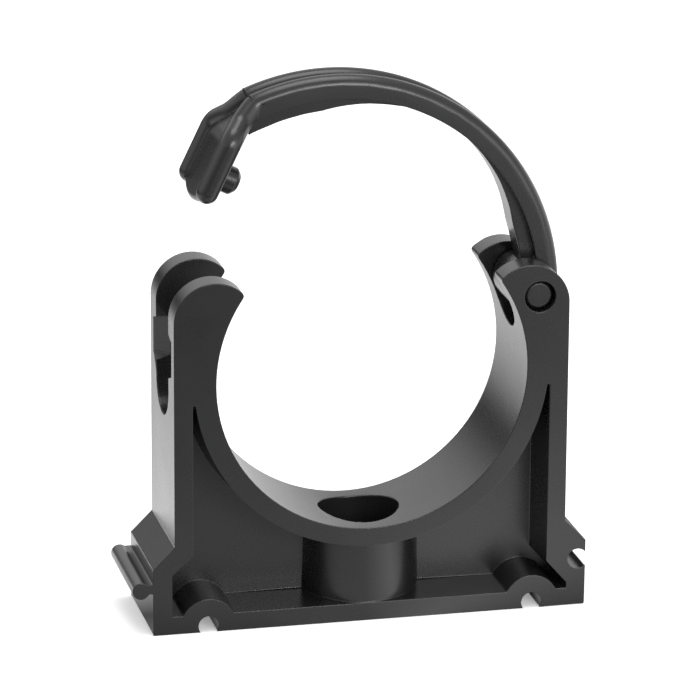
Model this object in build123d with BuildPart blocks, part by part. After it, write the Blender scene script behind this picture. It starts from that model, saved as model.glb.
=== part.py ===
"""Pipe clip for 63 mm pipe: a moulded clip body and the locking bow that hinges on it.

Millimetres, +Z up.  X runs across the clip, Y along the pipe.  The origin is the middle of
the screw hole on the underside of the base.  The bow is modelled open, as it stands before
a pipe is put in: its hinge is at +X and its latching fork hangs over the tower at -X.
"""

import os
from math import cos, radians, sin, sqrt

from build123d import *

# Pipe seat, moulded a little under the pipe's size so that it grips
pipe_diameter = 63.0
seat_grip = 0.15
seat_radius = pipe_diameter / 2 - seat_grip
seat_height = seat_radius + 19.3
clip_depth = 24.0
half_depth = clip_depth / 2

# Cradle band under the pipe: its outer circle sits a little higher than the seat's
cradle_rise = 0.74
cradle_outer_radius = seat_radius + 4.4
cradle_shift = 0.12

# Base, feet and side walls
wall_half_width = seat_radius + 8.4
wall_inner = wall_half_width - 3.7
foot_half_width = wall_half_width + 4.35
foot_shoulder_height = 13.65
base_top = 3.65
foot_pocket_side = foot_half_width - 3.8
slit_width = 0.6

# Web in the middle of the depth, with drafted pockets in front of it and behind it
web_thickness = 3.0
pocket_draft = 4.0

# Screw boss in the middle, nearly as wide as the clip is deep
boss_radius = 11.85
boss_bore_radius = 8.2
screw_hole_radius = 3.3
screw_seat_height = 5.0

# Lugs: two plates on each side, the bow goes between them
lug_gap = 12.6
lug_radius = 8.05
lug_centre_height = seat_height + 12.75
lug_end_angle = 150.0
lug_tip_radius = 0.9

# Hinge
hinge_x = wall_half_width - 6.05
hinge_z = seat_height + 14.3
hinge_hole_radius = 3.2
hinge_clearance = 0.3
stub_recess = 1.0
slot_floor = seat_height + 5.35
slot_corner = 6.2

# Latch side: window, bridge over it, and the seat for the fork in front of the bridge
window_round_height = seat_height - 2.3
bridge_bottom = seat_height + 0.5
bridge_top = bridge_bottom + 8.5
bridge_face = wall_half_width - 3.25
fork_seat_half_width = 9.3
fork_seat_ledge = 1.0
fork_seat_top = bridge_top + 0.5
fork_seat_fall = 1.6

# Grooves and bead that join clips side by side and to a rail
bottom_groove_x = wall_half_width - 6.75
bottom_groove_z = 1.25
bottom_groove_radius = 2.05
arch_radius = 5.6
side_groove_x = foot_half_width - 1.6
side_groove_z = 9.75
side_groove_radius = 2.1
bead_x = foot_half_width + 2.4
bead_z = 9.45
bead_radius = 1.7
bead_neck = 2.0
bead_neck_z = 9.75

# Locking bow: an arc of two round rails on a flat band, with a rib under each end
bow_outer_radius = seat_radius + 13.96
bow_centre_x = hinge_x + 5.97 - bow_outer_radius
bow_centre_z = hinge_z - 0.62
bow_inner_radius = bow_outer_radius - 4.47
bow_half_width = 5.05
rail_radius = 2.16
rail_line = bow_outer_radius - rail_radius
rail_y = bow_half_width - rail_radius
groove_floor_radius = bow_outer_radius - 2.01
bow_end_angle = 112.5
rib_half_width = 3.2
hinge_rib_angles = [2.0, 9.8, 17.0, 20.6, 24.7, 28.8, 33.0, 37.2, 41.4, 46.0, 51.0]
hinge_rib_depths = [2.71, 2.71, 2.71, 2.54, 1.98, 1.54, 1.06, 0.71, 0.41, 0.16, -0.06]
latch_rib_angles = [66.0, 71.5, 77.7, 81.7, 85.7, 89.6, 93.5, 97.0, 105.0, 113.0, 117.2]
latch_rib_depths = [-0.06, 0.42, 0.92, 1.3, 1.64, 2.04, 2.49, 2.64, 2.64, 2.64, 2.6]

# Barrel and stubs of the bow
barrel_radius = 5.0
barrel_half_width = 5.6
heel_radius = 3.58
stub_chamfer = 0.6

# Latching fork: direction of its two tubes in the side view, and its sizes.  Its places are
# measured outward and along the tubes, from the end of the rails' centre line.
fork_direction = 244.3
fork_offset = 2.51
fork_tube_y = 8.54
fork_tube_end = 18.38
fork_web_inner = 1.01
fork_web_outer = fork_web_inner + 2.4
fork_nose = fork_tube_end + 3.4
fork_nose_side = fork_tube_end + 1.1
fork_nose_round = 1.1
peg_radius = 2.8
peg_along = fork_tube_end - 2.75
peg_end = fork_web_inner - 5.56
peg_chamfer = 0.9

# Corners of each tube's centre line between the rail and its straight stretch:
# offset outward, place along the tubes, distance from the middle
fork_bend = [(1.3, 4.08, 4.7), (fork_offset, 7.28, fork_tube_y)]
fork_bend_radii = [4.5, 5.0, 3.0]
fork_straight = fork_tube_end - 8.9


def polar(radius, angle):
    """A point of the bow's side view, from its arc centre."""
    x = bow_centre_x + radius * cos(radians(angle))
    z = bow_centre_z + radius * sin(radians(angle))
    return (x, z)


def fork_point(offset, along):
    """A point of the fork's side view: its offset outward and its place along the tubes."""
    along_x = cos(radians(fork_direction))
    along_z = sin(radians(fork_direction))
    start = polar(rail_line, bow_end_angle)
    return (start[0] + offset * along_z + along * along_x,
            start[1] - offset * along_x + along * along_z)


def pocket_outline(inset):
    """The outline of the large pocket between base, walls and cradle, drawn inset by the draft."""
    wall = wall_inner - inset
    side = foot_pocket_side - inset
    floor = base_top + inset / 2
    ring = cradle_outer_radius + inset
    ring_z = seat_height + cradle_rise
    slit_x = wall - slit_width
    slit_top = ring_z - sqrt(ring**2 - slit_x**2)
    arch = arch_radius + inset / 2
    arch_reach = sqrt(arch**2 - (floor - bottom_groove_z) ** 2)
    arch_top = bottom_groove_z + arch
    left_out = -bottom_groove_x - arch_reach
    left_in = -bottom_groove_x + arch_reach
    with BuildLine() as outline:
        Polyline((-wall, slit_top), (-wall, 16.05), (-side, 12.25), (-side, floor), (left_out, floor))
        ThreePointArc((left_out, floor), (-bottom_groove_x, arch_top), (left_in, floor))
        Line((left_in, floor), (-left_in, floor))
        ThreePointArc((-left_in, floor), (bottom_groove_x, arch_top), (-left_out, floor))
        Polyline((-left_out, floor), (side, floor), (side, 4.85), (wall, 9.7), (wall, slit_top))
        ThreePointArc((wall, slit_top), (wall - slit_width / 2, slit_top + 0.25), (slit_x, slit_top))
        ThreePointArc((slit_x, slit_top), (cradle_shift, ring_z - ring), (-slit_x, slit_top))
        ThreePointArc((-slit_x, slit_top), (-wall + slit_width / 2, slit_top + 0.25), (-wall, slit_top))
    return outline.line


# The large pocket, from the front face down to the web
pocket_depth = half_depth - web_thickness / 2
pocket_inset = pocket_depth * sin(radians(pocket_draft))
with BuildPart() as pocket:
    with BuildSketch(Plane.XZ.offset(half_depth)):
        add(pocket_outline(0.0))
        make_face()
    with BuildSketch(Plane.XZ.offset(web_thickness / 2)):
        add(pocket_outline(pocket_inset))
        make_face()
    loft(ruled=True)

# Seat of the fork in the latch tower: open in front of the bridge, with sides at 45 degrees
seat_depth = fork_seat_half_width - lug_gap / 2
seat_low = bridge_bottom - 6
with BuildPart() as fork_seat:
    with BuildSketch(Plane.XY.offset(bridge_bottom)):
        with Locations((-(bridge_face + wall_half_width + 1) / 2, 0)):
            Rectangle(wall_half_width + 1 - bridge_face, lug_gap)
    extrude(amount=12)
    ledge_reach = seat_depth / sqrt(2)
    for side in (1, -1):
        side_middle = (-wall_half_width + seat_depth / 2, side * (fork_seat_half_width - seat_depth / 2), 0)
        with BuildSketch(Plane(origin=side_middle, x_dir=(-1, -side, 0), z_dir=(-side, 1, 0))):
            with BuildLine():
                Polyline((0, bridge_bottom + fork_seat_ledge), (ledge_reach, bridge_bottom),
                         (1.7 * ledge_reach, bridge_bottom - 0.7 * fork_seat_ledge),
                         (1.7 * ledge_reach, bridge_bottom + 12), (0, bridge_bottom + 12), close=True)
            make_face()
        extrude(amount=ledge_reach, both=True)
    with BuildSketch(Plane.YZ.offset(-wall_half_width - 2)):
        with BuildLine():
            Polyline((-half_depth, seat_low), (half_depth, seat_low), (half_depth, fork_seat_top - fork_seat_fall),
                     (lug_gap / 2, fork_seat_top), (-lug_gap / 2, fork_seat_top),
                     (-half_depth, fork_seat_top - fork_seat_fall), close=True)
        make_face()
    extrude(amount=10, mode=Mode.INTERSECT)

with BuildPart() as clip_body:
    # Outer outline with the lugs, seen from the front, minus the pipe seat
    with BuildSketch(Plane.XZ) as body_profile:
        lug_x = wall_half_width - lug_radius
        lug_round = (
            lug_x + lug_radius * cos(radians(lug_end_angle / 2)),
            lug_centre_height + lug_radius * sin(radians(lug_end_angle / 2)),
        )
        lug_end = (
            lug_x + lug_radius * cos(radians(lug_end_angle)),
            lug_centre_height + lug_radius * sin(radians(lug_end_angle)),
        )
        foot_top = foot_shoulder_height + foot_half_width - wall_half_width
        with BuildLine():
            Polyline((0, 0), (foot_half_width, 0), (foot_half_width, foot_shoulder_height),
                     (wall_half_width, foot_top), (wall_half_width, lug_centre_height))
            ThreePointArc((wall_half_width, lug_centre_height), lug_round, lug_end)
            Line(lug_end, (0, lug_end[1]))
            mirror(about=Plane.YZ)
        make_face()
        with Locations((0, seat_height)):
            Circle(seat_radius, mode=Mode.SUBTRACT)
        tips = body_profile.vertices().filter_by(
            lambda corner: abs(corner.X) < lug_x and corner.Y > lug_centre_height
        )
        fillet(tips, lug_tip_radius)
    extrude(amount=half_depth, both=True)

    # Bead along the left foot, with its neck
    with BuildSketch(Plane.XZ):
        with Locations((-bead_x, bead_z)):
            Circle(bead_radius)
        with Locations((-(bead_x + foot_half_width) / 2, bead_neck_z)):
            Rectangle(bead_x - foot_half_width + 0.6, bead_neck)
    extrude(amount=half_depth, both=True)

    # Pockets in front of the web and behind it
    add(pocket.part, mode=Mode.SUBTRACT)
    add(pocket.part.mirror(Plane.XZ), mode=Mode.SUBTRACT)

    # Screw boss from the base up into the cradle, with its bore, screw seat and screw hole
    with BuildSketch(Plane.XY.offset(base_top / 2)):
        Circle(boss_radius)
    extrude(amount=seat_height - seat_radius - 0.7 - base_top / 2)
    bore_end = seat_height - seat_radius + 4.7
    with BuildSketch(Plane.XZ):
        with BuildLine():
            Polyline((0, -1), (screw_hole_radius, -1), (screw_hole_radius, screw_seat_height),
                     (boss_bore_radius, screw_seat_height), (boss_bore_radius, bore_end),
                     (0, bore_end), (0, -1))
        make_face()
    revolve(axis=Axis.Z, mode=Mode.SUBTRACT)

    # Hinge side: slot between the plates and the hole through both
    clear_height = lug_centre_height + lug_radius + 1
    with BuildSketch(Plane.YZ.offset(20)):
        slot_height = clear_height - slot_floor
        with Locations((0, slot_floor + slot_height / 2)):
            Rectangle(lug_gap, slot_height)
        floor_corners = vertices().group_by(Axis.Y)[0]
        fillet(floor_corners, slot_corner)
    extrude(amount=30, mode=Mode.SUBTRACT)
    with BuildSketch(Plane.XZ):
        with Locations((hinge_x, hinge_z)):
            Circle(hinge_hole_radius)
    extrude(amount=half_depth + 1, both=True, mode=Mode.SUBTRACT)

    # Latch side: gap above the bridge, round-ended window under it, fork seat in front of it
    with BuildSketch(Plane.YZ.offset(-20)):
        with Locations((0, (bridge_top + clear_height) / 2)):
            Rectangle(lug_gap, clear_height - bridge_top)
        with Locations((0, window_round_height)):
            Circle(lug_gap / 2)
        with Locations((0, (bridge_bottom + window_round_height) / 2)):
            Rectangle(lug_gap, bridge_bottom - window_round_height)
    extrude(amount=-30, mode=Mode.SUBTRACT)
    add(fork_seat.part, mode=Mode.SUBTRACT)
    with BuildSketch(Plane.XZ):
        with BuildLine():
            Polyline((-bridge_face - 0.1, bridge_bottom - 0.1), (-bridge_face + 0.9, bridge_bottom - 0.1),
                     (-bridge_face - 0.1, bridge_bottom + 0.9), close=True)
        make_face()
    extrude(amount=lug_gap / 2, both=True, mode=Mode.SUBTRACT)

    # Round grooves in the underside and in the right foot
    with BuildSketch(Plane.XZ):
        with Locations((-bottom_groove_x, bottom_groove_z), (bottom_groove_x, bottom_groove_z)):
            Circle(bottom_groove_radius)
        with Locations((side_groove_x, side_groove_z)):
            Circle(side_groove_radius)
    extrude(amount=half_depth + 1, both=True, mode=Mode.SUBTRACT)

clip_body.part.label = "clip_body"


# Web of the fork: its bent section, cut to the outline seen from outside, with a round nose
web_top = groove_floor_radius - 0.1
web_start = bow_end_angle - 3.5
web_bend = 7.08
web_end = fork_nose + 4.5
web_origin = fork_point(fork_web_inner, 0)
outward = (sin(radians(fork_direction)), 0, -cos(radians(fork_direction)))
web_plane = Plane(origin=(web_origin[0], 0, web_origin[1]), x_dir=(0, 1, 0), z_dir=outward)
with BuildPart() as fork_web:
    with BuildSketch(Plane.XZ):
        with BuildLine():
            Polyline(polar(web_top, web_start), polar(web_top, bow_end_angle),
                     fork_point(fork_web_inner + 0.9, web_bend - 3), fork_point(fork_web_outer - 0.5, web_bend),
                     fork_point(fork_web_outer, fork_straight), fork_point(fork_web_outer, web_end),
                     fork_point(fork_web_inner, web_end), fork_point(fork_web_inner, web_bend),
                     fork_point(fork_web_inner - 0.4, web_bend - 2.5),
                     polar(bow_inner_radius, bow_end_angle + 1), polar(bow_inner_radius, web_start), close=True)
        make_face()
    extrude(amount=fork_tube_y, both=True)
    with BuildSketch(web_plane):
        with BuildLine():
            Polyline((-fork_tube_y, fork_nose_side), (-fork_tube_y, web_bend + 1.6),
                     (1.54 - fork_tube_y, web_bend - 1.3), (-bow_half_width, web_bend - 4.3),
                     (-bow_half_width, web_bend - 13), (bow_half_width, web_bend - 13),
                     (bow_half_width, web_bend - 4.3), (fork_tube_y - 1.54, web_bend - 1.3),
                     (fork_tube_y, web_bend + 1.6), (fork_tube_y, fork_nose_side))
            ThreePointArc((fork_tube_y, fork_nose_side), (0, fork_nose), (-fork_tube_y, fork_nose_side))
        make_face()
    extrude(amount=8, both=True, mode=Mode.INTERSECT)
    fillet(edges().filter_by(GeomType.CIRCLE), fork_nose_round)

with BuildPart() as locking_bow:
    bow_axis = Axis((bow_centre_x, 0, bow_centre_z), (0, -1, 0))

    # Band with its two rails, from the hinge to the fork
    with BuildSketch(Plane((bow_centre_x, 0, bow_centre_z), x_dir=(1, 0, 0), z_dir=(0, 0, 1))):
        with Locations(((bow_inner_radius + groove_floor_radius) / 2, 0)):
            Rectangle(groove_floor_radius - bow_inner_radius, 2 * rail_y)
        with Locations(((bow_inner_radius + rail_line) / 2, 0)):
            Rectangle(rail_line - bow_inner_radius, 2 * bow_half_width)
        with Locations((rail_line, rail_y), (rail_line, -rail_y)):
            Circle(rail_radius)
    revolve(axis=bow_axis, revolution_arc=bow_end_angle)

    # Ribs under both ends of the band
    rib_top = bow_inner_radius + 0.6
    for angles, depths in ((hinge_rib_angles, hinge_rib_depths), (latch_rib_angles, latch_rib_depths)):
        underside = [polar(bow_inner_radius - depth, angle) for depth, angle in zip(depths, angles)]
        last_angle = angles[-1] if angles[-1] < 60 else angles[-1] - 3.2
        with BuildSketch(Plane.XZ):
            with BuildLine():
                Spline(underside)
                Line(underside[-1], polar(rib_top, last_angle))
                ThreePointArc(polar(rib_top, last_angle),
                              polar(rib_top, (angles[0] + last_angle) / 2),
                              polar(rib_top, angles[0]))
                Line(polar(rib_top, angles[0]), underside[0])
            make_face()
        extrude(amount=rib_half_width, both=True)

    # Barrel round the hinge line, heel of the band, and the two stubs
    with BuildSketch(Plane.XZ):
        with Locations((hinge_x, hinge_z)):
            Circle(barrel_radius)
    extrude(amount=barrel_half_width, both=True)
    with BuildSketch(Plane.XZ):
        with Locations((bow_centre_x + bow_outer_radius - heel_radius, bow_centre_z)):
            Circle(heel_radius)
    extrude(amount=bow_half_width, both=True)
    stub_radius = hinge_hole_radius - hinge_clearance
    with BuildSketch(Plane.XZ):
        with Locations((hinge_x, hinge_z)):
            Circle(stub_radius)
    extrude(amount=half_depth - stub_recess, both=True)
    stub_rims = edges().filter_by(GeomType.CIRCLE).filter_by(
        lambda edge: abs(abs(edge.center().Y) - (half_depth - stub_recess)) < 0.01
    )
    chamfer(stub_rims, stub_chamfer)

    # Fork: each rail parts from the band and ends in a straight tube
    tube_end = fork_point(fork_offset, fork_tube_end)
    for side in (1, -1):
        rail_points = [polar(rail_line, angle) for angle in (bow_end_angle - 4, bow_end_angle - 0.3)]
        path_points = [(point[0], side * rail_y, point[1]) for point in rail_points]
        for offset, along, out in fork_bend:
            point = fork_point(offset, along)
            path_points.append((point[0], side * out, point[1]))
        path_points.append((tube_end[0], side * fork_tube_y, tube_end[1]))
        with BuildLine() as tube_path:
            FilletPolyline(*path_points, radius=fork_bend_radii)
        with BuildSketch(Plane(origin=tube_path.line @ 0, z_dir=tube_path.line % 0)):
            Circle(rail_radius)
        sweep()
        with Locations((tube_end[0], side * fork_tube_y, tube_end[1])):
            Sphere(rail_radius)
    add(fork_web.part)

    # Peg on the inner side of the web
    peg_root = fork_point(fork_web_inner + 0.5, peg_along)
    with BuildSketch(Plane(origin=(peg_root[0], 0, peg_root[1]), x_dir=(0, 1, 0),
                           z_dir=(-outward[0], 0, -outward[2]))):
        Circle(peg_radius)
    extrude(amount=fork_web_inner + 0.5 - peg_end)
    peg_tip = fork_point(peg_end, peg_along)
    peg_rim = edges().filter_by(GeomType.CIRCLE).sort_by_distance((peg_tip[0], 0, peg_tip[1]))[0]
    chamfer(peg_rim, peg_chamfer)

locking_bow.part.label = "locking_bow"

os.makedirs("parts", exist_ok=True)
export_step(clip_body.part, "parts/clip_body.step")
export_step(locking_bow.part, "parts/locking_bow.step")
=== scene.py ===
"""Pipe clip: moulded black plastic for the clip body and its locking bow, on a white stage."""

from math import radians, tau

import bpy
from bpy.props import FloatProperty, FloatVectorProperty, PointerProperty
from mathutils import Matrix, Vector

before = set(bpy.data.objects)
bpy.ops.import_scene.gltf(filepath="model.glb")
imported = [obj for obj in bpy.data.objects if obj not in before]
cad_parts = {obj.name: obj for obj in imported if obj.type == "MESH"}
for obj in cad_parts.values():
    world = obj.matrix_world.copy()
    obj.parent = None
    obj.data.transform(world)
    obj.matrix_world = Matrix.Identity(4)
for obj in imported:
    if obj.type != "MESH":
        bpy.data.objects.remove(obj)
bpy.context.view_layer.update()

bl_info = {
    "name": "Pipe clip",
    "version": (1, 0, 0),
    "blender": (4, 5, 0),
    "location": "3D View > Sidebar > Pipe clip",
    "description": "Finishes a moulded pipe clip with its locking bow, on a small stage",
    "category": "Object",
}

# Points of a node nearer than the reach become one, and faces that turn less than the flat angle
# become one. Edges that turn more than the edge angle get a narrow cut.
WELD_REACH = 0.00001
FLAT_ANGLE = radians(1)
EDGE_ANGLE = radians(35)

# How strongly the rubbed places show, up to 1.
BODY_RUB = 0.7
BOW_RUB = 0.9

# Where each pattern begins to show and where it shows in full. Edges go by how far the soft
# normal turns from the face, clouds and nicks by their noise.
EDGE_STOPS = ((0.01, 0.0), (0.12, 1.0))
CLOUD_STOPS = ((0.35, 0.0), (0.68, 1.0))
NICK_STOPS = ((0.60, 0.0), (0.68, 1.0))

# Shares of the grain and the ripples in the height of the surface.
GRAIN_HEIGHT = 0.25
RIPPLE_HEIGHT = 0.5

# How much rougher each pattern makes the plastic, and how much smoother it is between them.
CLOUD_ROUGHNESS = 0.08
GRAIN_ROUGHNESS = 0.06
NICK_ROUGHNESS = 0.15
BASE_SMOOTHNESS = 0.04

# What reflections see round the clip. Each row starts in front and runs round by the left:
# front, front left, left, behind left, behind, behind right, right, front right.
# 1 is white paper in plain light.
TOP_LEVEL = 3.0
# Walls and ceiling, by how steeply one looks up: 0 is level and 1 is straight up.
WALL_RINGS = (
    (0.06, (0.0, 0.0, 0.6, 0.0, 0.0, 2.6, 1.6, 0.8)),
    (0.36, (0.4, 0.9, 1.5, 1.4, 1.4, 0.7, 0.5, 1.0)),
    (0.85, (0.9, 0.9, 0.9, 0.9, 0.9, 0.9, 0.9, 0.9)),
)
# Floor, by the distance from the clip in metres. These levels are painted light: the floor glows
# with them, and only reflections see it.
FLOOR_RINGS = (
    (0.07, (0.9, 0.9, 0.2, 2.1, 1.6, 0.2, 0.0, 2.0)),
    (0.20, (0.0, 0.2, 1.7, 1.2, 1.6, 0.4, 0.8, 1.1)),
    (0.60, (0.7, 0.5, 0.6, 0.1, 0.5, 1.9, 1.4, 1.3)),
)

# Soft boxes: width and height, then place, in metres. Each faces the middle of the clip.
CLIP_MIDDLE = (0.0, 0.0, 0.05)
KEY_BOX = ((0.7, 0.7), (0.05, 0.0, 1.2))
FRONT_BOX = ((0.45, 0.3), (0.2, -0.9, 0.37))
FILL_BOX = ((0.35, 0.35), (0.42, -0.55, 0.1))

# The camera's right and down, in the frame's axes, and the width of its sensor in millimetres.
CAMERA_RIGHT = (0.97327358, -0.22954624, 0.00685971)
CAMERA_DOWN = (-0.06003358, -0.28314637, -0.95719596)
SENSOR_WIDTH = 36


class ClipPlastic(bpy.types.PropertyGroup):
    """Finish of the moulded plastic that both pieces are made of."""

    colour: FloatVectorProperty(
        name="Colour", description="Colour of the plastic", subtype="COLOR",
        size=3, min=0, max=1, default=(0.0095, 0.0096, 0.0099))
    worn_colour: FloatVectorProperty(
        name="Worn colour", description="Colour of rubbed edges", subtype="COLOR",
        size=3, min=0, max=1, default=(0.06, 0.06, 0.06))
    mottling: FloatProperty(
        name="Mottling", description="How much brighter the pale clouds are than the plastic",
        min=1, default=1.3)
    roughness: FloatProperty(
        name="Roughness", description="Roughness of the moulded surface",
        min=0, max=1, default=0.25)
    cloud_size: FloatProperty(
        name="Cloud size", description="Size of the pale clouds in the plastic",
        subtype="DISTANCE", unit="LENGTH", default=0.018)
    grain_size: FloatProperty(
        name="Grain size", description="Size of the fine grain left by the mould",
        subtype="DISTANCE", unit="LENGTH", default=0.00035)
    ripple_size: FloatProperty(
        name="Ripple size", description="Size of the slow waves in the moulded surface",
        subtype="DISTANCE", unit="LENGTH", default=0.007)
    nick_size: FloatProperty(
        name="Nick size", description="Size of the rubbed places along edges",
        subtype="DISTANCE", unit="LENGTH", default=0.0016)
    relief: FloatProperty(
        name="Relief", description="Depth of the grain and the waves",
        subtype="DISTANCE", unit="LENGTH", default=0.0004)
    soft_radius: FloatProperty(
        name="Soft radius", description="Reach of the soft shading at corners and edges",
        subtype="DISTANCE", unit="LENGTH", default=0.00035)
    edge_cut: FloatProperty(
        name="Edge cut", description="Width of the cut at the moulded edges",
        subtype="DISTANCE", unit="LENGTH", default=0.0002)


class ClipStage(bpy.types.PropertyGroup):
    """Floor, light and camera."""

    floor_size: FloatProperty(
        name="Floor size", description="Side of the square floor",
        subtype="DISTANCE", unit="LENGTH", default=6.0)
    floor_colour: FloatVectorProperty(
        name="Floor colour", description="Colour of the floor", subtype="COLOR",
        size=3, min=0, max=1, default=(0.86, 0.86, 0.86))
    floor_glow: FloatProperty(
        name="Floor glow", description="Light that the floor adds to what the camera sees of it",
        min=0, default=0.3)
    key_power: FloatProperty(
        name="Key power", description="Power of the soft box overhead",
        unit="POWER", default=6.5)
    front_power: FloatProperty(
        name="Front power", description="Power of the soft box above the front",
        unit="POWER", default=4.4)
    fill_power: FloatProperty(
        name="Fill power", description="Power of the soft box low on the right",
        unit="POWER", default=0.8)
    camera_place: FloatVectorProperty(
        name="Camera place", description="Where the camera stands", subtype="TRANSLATION",
        unit="LENGTH", size=3, default=(-0.19664, -0.81817, 0.30694))
    focal_length: FloatProperty(
        name="Focal length", description="Focal length of the lens in millimetres",
        default=227.97)


class Socket:
    """An output of a shader node that takes part in Python expressions."""

    def __init__(self, tree, output):
        self.tree = tree
        self.output = output

    def also(self, name):
        """Another output of the same node."""
        return Socket(self.tree, self.output.node.outputs[name])

    def maths(self, operation, *values):
        return self.tree.node("Math", {"operation": operation}, dict(enumerate(values)))

    def __add__(self, other):
        return self.maths("ADD", self, other)

    __radd__ = __add__

    def __mul__(self, other):
        return self.maths("MULTIPLY", self, other)

    __rmul__ = __mul__

    def __sub__(self, other):
        return self.maths("SUBTRACT", self, other)

    def __rsub__(self, other):
        return self.maths("SUBTRACT", other, self)

    def __truediv__(self, other):
        return self.maths("DIVIDE", self, other)

    def __rtruediv__(self, other):
        return self.maths("DIVIDE", other, self)


class Tree:
    """The node tree of a material or of the world, emptied and ready to be built."""

    def __init__(self, owner):
        owner.use_nodes = True
        self.nodes = owner.node_tree.nodes
        self.links = owner.node_tree.links
        self.nodes.clear()

    def node(self, kind, settings=None, inputs=None, output=0):
        """Add a node: its type, its settings, and the values or links of its sockets."""
        made = self.nodes.new("ShaderNode" + kind)
        for name, value in (settings or {}).items():
            if name == "stops":
                self.set_stops(made.color_ramp, value)
            else:
                setattr(made, name, value)
        for name, value in (inputs or {}).items():
            if isinstance(value, Socket):
                self.links.new(value.output, made.inputs[name])
            else:
                made.inputs[name].default_value = value
        if not made.outputs:
            return None
        return Socket(self, made.outputs[output])

    @staticmethod
    def set_stops(ramp, stops):
        """Put grey levels at places along a colour ramp."""
        while len(ramp.elements) < len(stops):
            ramp.elements.new(1)
        for element, (place, level) in zip(ramp.elements, stops):
            element.position = place
            element.color = (level, level, level, 1)

    def ramp(self, value, *stops):
        return self.node("ValToRGB", {"stops": stops}, {"Fac": value})

    def noise(self, place, size, detail):
        """Noise whose patches are about that size, in metres."""
        inputs = {"Vector": place, "Scale": 1 / size, "Detail": detail, "Roughness": 0.55}
        return self.node("TexNoise", {}, inputs)

    def blend(self, share, first, second):
        """A colour between two others. The colour sockets of the node go by their numbers."""
        return self.node("Mix", {"data_type": "RGBA"}, {0: share, 6: first, 7: second}, output=2)


def rgba(colour):
    return (*colour, 1.0)


def moulded_plastic(name, settings, rub):
    """Black moulded plastic: fine grain, slow ripples, and edges soft to the light and rubbed."""
    material = bpy.data.materials.new(name)
    tree = Tree(material)
    place = tree.node("TexCoord", output="Object")
    face_normal = tree.node("NewGeometry", output="Normal")
    soft_normal = tree.node("Bevel", {"samples": 8}, {"Radius": settings.soft_radius})
    alike = tree.node(
        "VectorMath", {"operation": "DOT_PRODUCT"}, {0: face_normal, 1: soft_normal}, output="Value")
    edge = tree.ramp(1 - alike, *EDGE_STOPS)

    cloud = tree.noise(place, settings.cloud_size, detail=4)
    grain = tree.noise(place, settings.grain_size, detail=2)
    ripple = tree.noise(place, settings.ripple_size, detail=1)
    nick = tree.noise(place, settings.nick_size, detail=3)
    nicks = tree.ramp(nick, *NICK_STOPS) * edge * rub

    pale = [settings.mottling * level for level in settings.colour]
    mottled = tree.blend(tree.ramp(cloud, *CLOUD_STOPS), rgba(settings.colour), rgba(pale))
    colour = tree.blend(nicks, mottled, rgba(settings.worn_colour))
    roughness = (
        settings.roughness - BASE_SMOOTHNESS
        + cloud * CLOUD_ROUGHNESS + grain * GRAIN_ROUGHNESS + nicks * NICK_ROUGHNESS)
    bump = tree.node("Bump", {}, {
        "Strength": 0.12,
        "Distance": settings.relief,
        "Height": grain * GRAIN_HEIGHT + ripple * RIPPLE_HEIGHT,
        "Normal": soft_normal,
    })
    shader = tree.node("BsdfPrincipled", {}, {
        "Base Color": colour,
        "Roughness": roughness,
        "Normal": bump,
        "IOR": 1.49,
    })
    tree.node("OutputMaterial", {}, {"Surface": shader})
    return material


def cut_edges(piece, width):
    """Cut the sharp edges of a node. Its flat faces are joined first, so they stay whole."""
    piece.data.polygons.foreach_set("use_smooth", [True] * len(piece.data.polygons))
    weld = piece.modifiers.new("weld", "WELD")
    weld.merge_threshold = WELD_REACH
    flats = piece.modifiers.new("flats", "DECIMATE")
    flats.decimate_type = "DISSOLVE"
    flats.angle_limit = FLAT_ANGLE
    bevel = piece.modifiers.new("bevel", "BEVEL")
    bevel.limit_method = "ANGLE"
    bevel.angle_limit = EDGE_ANGLE
    bevel.offset_type = "ABSOLUTE"
    bevel.width = width
    bevel.segments = 1
    bevel.use_clamp_overlap = False
    normals = piece.modifiers.new("normals", "WEIGHTED_NORMAL")
    normals.weight = 100


def dress(node_name, material, edge_cut):
    """Give a node of the frame its plastic and its cut edges."""
    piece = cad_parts[node_name]
    piece.data.materials.clear()
    piece.data.materials.append(material)
    cut_edges(piece, edge_cut)


class CLIP_OT_body(bpy.types.Operator):
    """Finish the clip body: base, pipe seat, walls, lugs and latch tower"""

    bl_idname = "clip.body"
    bl_label = "Clip body"

    def execute(self, context):
        settings = context.scene.clip_plastic
        plastic = moulded_plastic("Body plastic", settings, BODY_RUB)
        dress("clip_body", plastic, settings.edge_cut)
        return {"FINISHED"}


class CLIP_OT_bow(bpy.types.Operator):
    """Finish the locking bow with its hinge barrel, ribs, fork and peg"""

    bl_idname = "clip.bow"
    bl_label = "Locking bow"

    def execute(self, context):
        settings = context.scene.clip_plastic
        plastic = moulded_plastic("Bow plastic", settings, BOW_RUB)
        dress("locking_bow", plastic, settings.edge_cut)
        return {"FINISHED"}


def around(tree, x, y, levels):
    """A level that runs evenly round the clip through eight levels, in the order of the rings."""
    turn = x.maths("ARCTAN2", x, y) / tau + 0.5
    closed = (*levels, levels[0])
    stops = [(index / len(levels), level / TOP_LEVEL) for index, level in enumerate(closed)]
    return tree.ramp(turn, *stops)


def surroundings(tree, x, y, distance, rings):
    """What reflections see: the rings of levels, each fading into the next along the distance."""
    places = [place for place, _ in rings]
    total = 0
    for index, (place, levels) in enumerate(rings):
        before = [(places[index - 1], 0.0)] if index else []
        after = [(places[index + 1], 0.0)] if index + 1 < len(rings) else []
        share = tree.ramp(distance, *before, (place, 1.0), *after)
        total = share * around(tree, x, y, levels) * TOP_LEVEL + total
    return total


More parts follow.
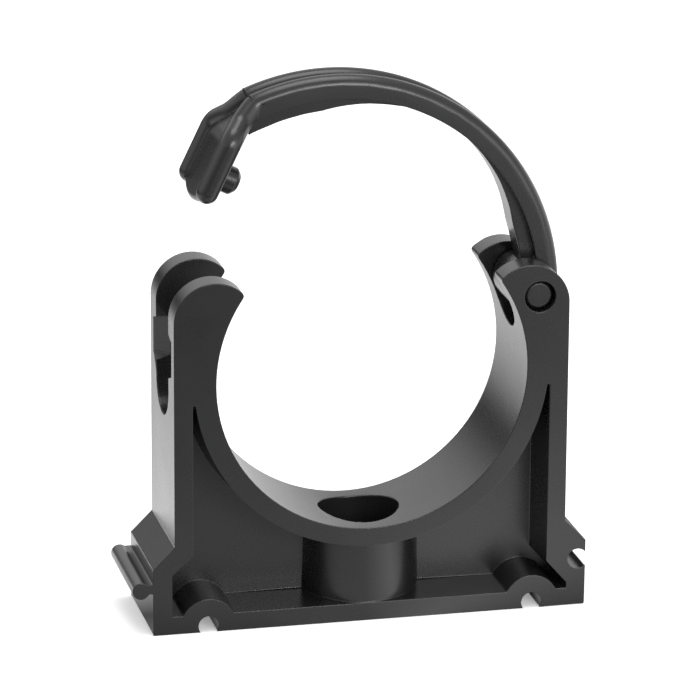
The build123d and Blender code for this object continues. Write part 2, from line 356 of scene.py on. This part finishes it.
def pale_floor(settings):
    """Pale floor. Reflections see painted light on it, levels that glow unevenly, as under the lamps
    of a small studio.
    """
    material = bpy.data.materials.new("Pale floor")
    tree = Tree(material)
    seen = tree.node("LightPath", output="Is Camera Ray")
    place = tree.node("SeparateXYZ", {}, {0: tree.node("NewGeometry", output="Position")})
    x = place.also("X")
    y = place.also("Y")
    distance = x.maths("SQRT", x * x + y * y)
    shaded = tree.node("BsdfPrincipled", {}, {
        "Base Color": rgba(settings.floor_colour),
        "Roughness": 0.9,
        "Specular IOR Level": 0.0,
        "Emission Color": seen * settings.floor_glow,
        "Emission Strength": 1.0,
    })
    # Painted light: the floor glows at these levels for glossy rays only, in place of uneven lamp
    # light on it.
    level = surroundings(tree, x, y, distance, FLOOR_RINGS)
    painted_floor_light = tree.node("Emission", {}, {"Color": level, "Strength": 1.0})
    surface = tree.node("MixShader", {}, {0: seen.also("Is Glossy Ray"), 1: shaded, 2: painted_floor_light})
    tree.node("OutputMaterial", {}, {"Surface": surface})
    return material


def studio_world():
    """White to the eye, and a ring of bright and dark walls to the clip."""
    world = bpy.data.worlds.new("Studio")
    bpy.context.scene.world = world
    tree = Tree(world)
    direction = tree.node("SeparateXYZ", {}, {0: tree.node("TexCoord", output="Generated")})
    x = direction.also("X")
    y = direction.also("Y")
    level = surroundings(tree, x, y, direction.also("Z"), WALL_RINGS)
    colour = tree.blend(tree.node("LightPath", output="Is Camera Ray"), level, (1, 1, 1, 1))
    background = tree.node("Background", {}, {"Color": colour, "Strength": 1.0})
    tree.node("OutputWorld", {}, {"Surface": background})


def soft_box(name, power, size, place):
    """An area light that faces the middle of the clip."""
    data = bpy.data.lights.new(name, "AREA")
    data.shape = "RECTANGLE"
    data.size, data.size_y = size
    data.energy = power
    lamp = bpy.data.objects.new(name, data)
    lamp.location = place
    facing = Vector(CLIP_MIDDLE) - Vector(place)
    lamp.rotation_euler = facing.to_track_quat("-Z", "Y").to_euler()
    bpy.context.scene.collection.objects.link(lamp)


def flat_floor(settings):
    """The square floor that the clip stands on."""
    half = settings.floor_size / 2
    mesh = bpy.data.meshes.new("floor")
    corners = [(-half, -half, 0), (half, -half, 0), (half, half, 0), (-half, half, 0)]
    mesh.from_pydata(corners, [], [(0, 1, 2, 3)])
    mesh.materials.append(pale_floor(settings))
    floor = bpy.data.objects.new("floor", mesh)
    bpy.context.scene.collection.objects.link(floor)


def still_camera(settings):
    """The camera, a little to the left of the clip's front and above it."""
    camera = bpy.data.objects.new("camera", bpy.data.cameras.new("camera"))
    camera.data.lens = settings.focal_length
    camera.data.sensor_width = SENSOR_WIDTH
    camera.data.clip_start = 0.01
    camera.data.clip_end = 20
    right = Vector(CAMERA_RIGHT)
    down = Vector(CAMERA_DOWN)
    forward = right.cross(down)
    turn = Matrix((right, -down, -forward)).transposed().to_4x4()
    camera.matrix_world = Matrix.Translation(settings.camera_place) @ turn
    bpy.context.scene.collection.objects.link(camera)
    bpy.context.scene.camera = camera


class CLIP_OT_stage(bpy.types.Operator):
    """Build the floor, the studio light and the camera"""

    bl_idname = "clip.stage"
    bl_label = "Stage"

    def execute(self, context):
        settings = context.scene.clip_stage
        flat_floor(settings)
        studio_world()
        soft_box("key_light", settings.key_power, *KEY_BOX)
        soft_box("front_light", settings.front_power, *FRONT_BOX)
        soft_box("fill_light", settings.fill_power, *FILL_BOX)
        still_camera(settings)
        context.scene.view_settings.view_transform = "Standard"
        return {"FINISHED"}


class CLIP_PT_panel(bpy.types.Panel):
    """Sizes and colours of the pipe clip, and the steps that build it"""

    bl_label = "Pipe clip"
    bl_space_type = "VIEW_3D"
    bl_region_type = "UI"
    bl_category = "Pipe clip"

    def draw(self, context):
        for settings in (context.scene.clip_plastic, context.scene.clip_stage):
            box = self.layout.box()
            for name in settings.__annotations__:
                box.prop(settings, name)
        for operator in (CLIP_OT_body, CLIP_OT_bow, CLIP_OT_stage):
            self.layout.operator(operator.bl_idname)


classes = (ClipPlastic, ClipStage, CLIP_OT_body, CLIP_OT_bow, CLIP_OT_stage, CLIP_PT_panel)


def register():
    for new_class in classes:
        bpy.utils.register_class(new_class)
    bpy.types.Scene.clip_plastic = PointerProperty(type=ClipPlastic)
    bpy.types.Scene.clip_stage = PointerProperty(type=ClipStage)


def unregister():
    del bpy.types.Scene.clip_stage
    del bpy.types.Scene.clip_plastic
    for old_class in reversed(classes):
        bpy.utils.unregister_class(old_class)


def main():
    register()
    bpy.ops.clip.body()
    bpy.ops.clip.bow()
    bpy.ops.clip.stage()


if __name__ == "__main__":
    main()
